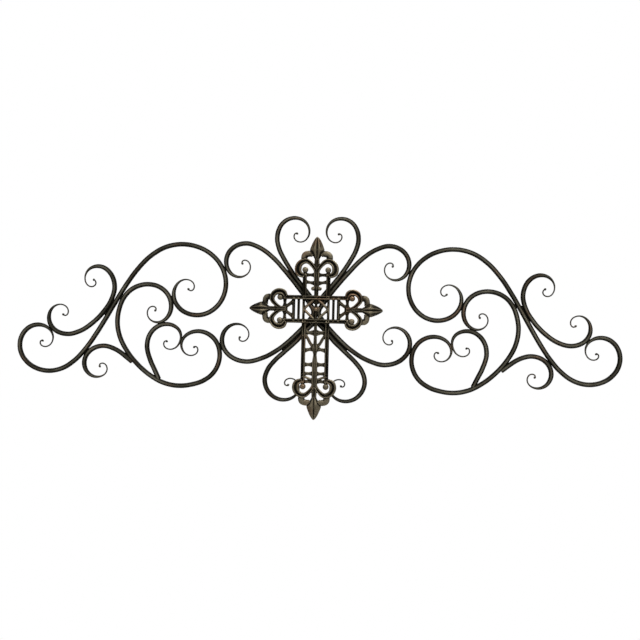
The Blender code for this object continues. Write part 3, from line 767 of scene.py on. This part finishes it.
def wear(mesh, back, front):
    """Writes each point's share of bronze wear: parts that stand out most, hollows none, which
    paints shade into them.
    """
    count = len(mesh.vertices)
    places = np.empty(count * 3)
    mesh.vertices.foreach_get("co", places)
    places = places.reshape(count, 3)
    normals = np.empty(count * 3)
    mesh.vertices.foreach_get("normal", normals)
    normals = normals.reshape(count, 3)
    edges = np.empty(len(mesh.edges) * 2, dtype=np.int32)
    mesh.edges.foreach_get("vertices", edges)
    joined = edges.reshape(-1, 2)
    one = np.concatenate((joined[:, 0], joined[:, 1]))
    other = np.concatenate((joined[:, 1], joined[:, 0]))
    shared = np.maximum(np.bincount(one, minlength=count), 1)
    smooth = places.copy()
    for _ in range(WEAR_PASSES):
        smooth = np.stack([
            np.bincount(one, weights=smooth[other, n], minlength=count) / shared
            for n in range(3)
        ], axis=1)
    # above the smoothed copy: more bronze wear on raised parts; below it: less, a painted shade
    # in the hollows
    bulge_and_hollow_shade = ((places - smooth) * normals).sum(axis=1) / (WEAR_BULGE * MM)
    height = (back - places[:, 1]) / (back - front)
    facing = np.clip(-normals[:, 1], 0.0, 1.0)
    across = np.abs(places[:, 0]) / (SIDE_ARM * MM)
    ends = np.clip((across - ENDS_FROM) / (1 - ENDS_FROM), 0.0, 1.0)
    low = np.clip((CROSS_LEVEL - places[:, 2]) / (LOW_REACH * MM), 0.0, 1.0)
    handled = HANDLED - HANDLED_ENDS * ends + HANDLED_LOW * low
    faces = facing ** WEAR_TURN * (WEAR_LEVEL + WEAR_RISE * height)
    # bronze wear, less where faces turn away, and painted shade in the hollows
    rub_and_painted_light = np.clip(handled * (faces + bulge_and_hollow_shade), 0.0, 1.0)
    mesh.attributes.new("rub_and_painted_light", "FLOAT", "POINT").data.foreach_set("value", rub_and_painted_light)
    for vert, place, normal in zip(mesh.vertices, places, normals):
        spot = Vector(place) / MM
        grain = noise.noise(spot / COARSE_GRAIN) + 0.5 * noise.noise(spot / FINE_GRAIN)
        vert.co = place + normal * (grain * CAST_GRAIN * MM)


def build_cross(material):
    """The cast cross, in the place of its solid."""
    relief = Relief()
    side_arms(relief)
    upper_arm(relief)
    lower_arm(relief)
    crossing(relief)
    piece = mesh_object("cast_cross", relief.work, material)
    fuse(piece)
    low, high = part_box("openwork_cross")
    wear(piece.data, high.y, low.y)
    for polygon in piece.data.polygons:
        polygon.use_smooth = True
    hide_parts("openwork_cross")
    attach(piece, "root")


# Materials

class Nodes:
    """Short calls for building a node material."""

    def __init__(self, name):
        self.material = bpy.data.materials.new(name)
        self.material.use_nodes = True
        self.tree = self.material.node_tree
        self.shader = self.tree.nodes["Principled BSDF"]

    def node(self, kind, **inputs):
        made = self.tree.nodes.new(kind)
        for name, value in inputs.items():
            self.feed(made.inputs[name.replace("_", " ")], value)
        return made

    def feed(self, socket, value):
        if isinstance(value, bpy.types.NodeSocket):
            self.tree.links.new(value, socket)
        else:
            socket.default_value = value

    def noise(self, scale, detail=4.0, rough=0.55):
        place = self.node("ShaderNodeTexCoord").outputs["Object"]
        made = self.node("ShaderNodeTexNoise", Vector=place, Scale=scale, Detail=detail,
                         Roughness=rough)
        return made.outputs["Fac"]

    def ramp(self, value, low, high, start=0.0, end=1.0):
        made = self.tree.nodes.new("ShaderNodeMapRange")
        made.interpolation_type = "SMOOTHSTEP"
        for socket, fed in zip(made.inputs, (value, low, high, start, end)):
            self.feed(socket, fed)
        return made.outputs["Result"]

    def maths(self, operation, a, b):
        made = self.tree.nodes.new("ShaderNodeMath")
        made.operation = operation
        made.use_clamp = operation == "ADD"
        self.feed(made.inputs[0], a)
        self.feed(made.inputs[1], b)
        return made.outputs["Value"]

    def mix(self, share, a, b):
        made = self.tree.nodes.new("ShaderNodeMix")
        made.data_type = "RGBA"
        self.feed(made.inputs["Factor"], share)
        self.feed(made.inputs[6], a)
        self.feed(made.inputs[7], b)
        return made.outputs[2]

    def attribute(self, name):
        made = self.tree.nodes.new("ShaderNodeAttribute")
        made.attribute_name = name
        return made.outputs["Fac"]


def antique_iron(name, dark, warm, rubbed_and_highlight, rub_from, rub_to, least, grain_scale, grain_height):
    """Black-brown paint with bronze over its raised parts, which also paints light: a highlight
    along the bars' ridges, and shade in the cast's hollows where the bronze is missing.

    The bronze comes and goes in patches, down to its least share.
    """
    made = Nodes(name)
    patches = made.maths(
        "MULTIPLY",
        made.ramp(made.noise(14.0, 3.0), 0.38, 0.62, least, 1.0),
        made.ramp(made.noise(70.0, 6.0, 0.62), 0.30, 0.60, 0.55, 1.0),
    )
    # share of bronze wear, with the painted ridge highlight and painted hollow shade that the
    # attribute carries
    wear_and_painted_light = made.maths("MULTIPLY", made.ramp(made.attribute("rub_and_painted_light"), rub_from, rub_to), patches)
    ground = made.mix(made.ramp(made.noise(18.0), 0.42, 0.68), dark, warm)
    speckle = made.ramp(made.noise(420.0, 3.0), 0.38, 0.75, 0.0, 0.40)
    redder = tuple(value * share for value, share in zip(rubbed_and_highlight, WARMER)) + (1,)
    tone = made.mix(made.ramp(made.noise(22.0), 0.50, 0.66), rubbed_and_highlight, redder)
    # bronze where the mask is high: wear, and painted highlight on the bars' ridges
    colour = made.mix(wear_and_painted_light, ground, tone)
    colour = made.mix(made.maths("MULTIPLY", speckle, wear_and_painted_light), colour, dark)
    made.feed(made.shader.inputs["Base Color"], colour)
    made.feed(made.shader.inputs["Metallic"], made.ramp(wear_and_painted_light, 0.0, 1.0, 0.0, RUBBED_METALLIC))
    made.feed(made.shader.inputs["Specular IOR Level"], SHINE)
    made.feed(made.shader.inputs["Specular Tint"], SHINE_COLOUR)
    roughness = made.maths(
        "ADD",
        made.ramp(wear_and_painted_light, 0.0, 1.0, PAINT_ROUGHNESS, RUBBED_ROUGHNESS),
        made.ramp(made.noise(150.0, 5.0), 0.3, 0.7, -0.05, 0.10),
    )
    made.feed(made.shader.inputs["Roughness"], roughness)
    coarse = made.node("ShaderNodeBump", Strength=0.5, Distance=grain_height * 2.5,
                       Height=made.noise(grain_scale / 7, 4.0))
    fine = made.node("ShaderNodeBump", Strength=0.6, Distance=grain_height,
                     Height=made.noise(grain_scale, 6.0, 0.6),
                     Normal=coarse.outputs["Normal"])
    made.feed(made.shader.inputs["Normal"], fine.outputs["Normal"])
    return made.material


# Studio

def make_camera():
    yaw = math.radians(CAMERA_YAW)
    ahead = Vector((-math.sin(yaw), math.cos(yaw), 0.0))
    data = bpy.data.cameras.new("camera")
    data.lens = CAMERA_LENS
    data.sensor_width = SENSOR_WIDTH
    camera = bpy.data.objects.new("camera", data)
    camera.location = (Vector(CAMERA_AIM) - ahead * CAMERA_DISTANCE) * MM
    camera.rotation_mode = "QUATERNION"
    roll = Quaternion((0, 0, 1), math.radians(CAMERA_ROLL))
    camera.rotation_quaternion = ahead.to_track_quat("-Z", "Y") @ roll
    bpy.context.scene.collection.objects.link(camera)
    bpy.context.scene.camera = camera


def softbox(name, place, size, power):
    """A soft light that looks at the middle of the object."""
    data = bpy.data.lights.new(name, "AREA")
    data.shape = "RECTANGLE"
    data.size, data.size_y = size
    data.energy = power
    light = bpy.data.objects.new(name, data)
    light.location = place
    light.rotation_mode = "QUATERNION"
    light.rotation_quaternion = (-Vector(place)).to_track_quat("-Z", "Y")
    bpy.context.scene.collection.objects.link(light)


def make_studio():
    world = bpy.data.worlds.new("studio")
    world.use_nodes = True
    tree = world.node_tree
    shader = tree.nodes["Background"]
    path = tree.nodes.new("ShaderNodeLightPath")
    level = tree.nodes.new("ShaderNodeMapRange")
    tree.links.new(path.outputs["Is Camera Ray"], level.inputs["Value"])
    level.inputs["To Min"].default_value = SURROUND
    level.inputs["To Max"].default_value = BACKGROUND
    tree.links.new(level.outputs["Result"], shader.inputs["Strength"])
    shader.inputs["Color"].default_value = (1, 1, 1, 1)
    bpy.context.scene.world = world
    for light in LIGHTS:
        softbox(*light)
    bpy.ops.mesh.primitive_circle_add(
        vertices=FLOOR_SIDES, radius=FLOOR_RADIUS * MM, fill_type="NGON",
        location=(0, 0, FLOOR_LEVEL * MM),
    )
    floor = bpy.context.object
    floor.name = "floor"
    pale = bpy.data.materials.new("pale_floor")
    pale.use_nodes = True
    shader = pale.node_tree.nodes["Principled BSDF"]
    shader.inputs["Base Color"].default_value = FLOOR_COLOUR
    shader.inputs["Roughness"].default_value = FLOOR_ROUGHNESS
    floor.data.materials.append(pale)
    bpy.context.scene.view_settings.view_transform = "Standard"


make_camera()
make_studio()
forged = antique_iron("blackened_iron", **FORGED_PAINT)
cast = antique_iron("rubbed_cast_iron", **CAST_PAINT)
noise.seed_set(HAMMER_SEED)
bars = {}
for name in sorted(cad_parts):
    if name.endswith("_scroll"):
        bars[name] = build_bar(name, forged)
build_welds(bars, forged)
build_cross(cast)
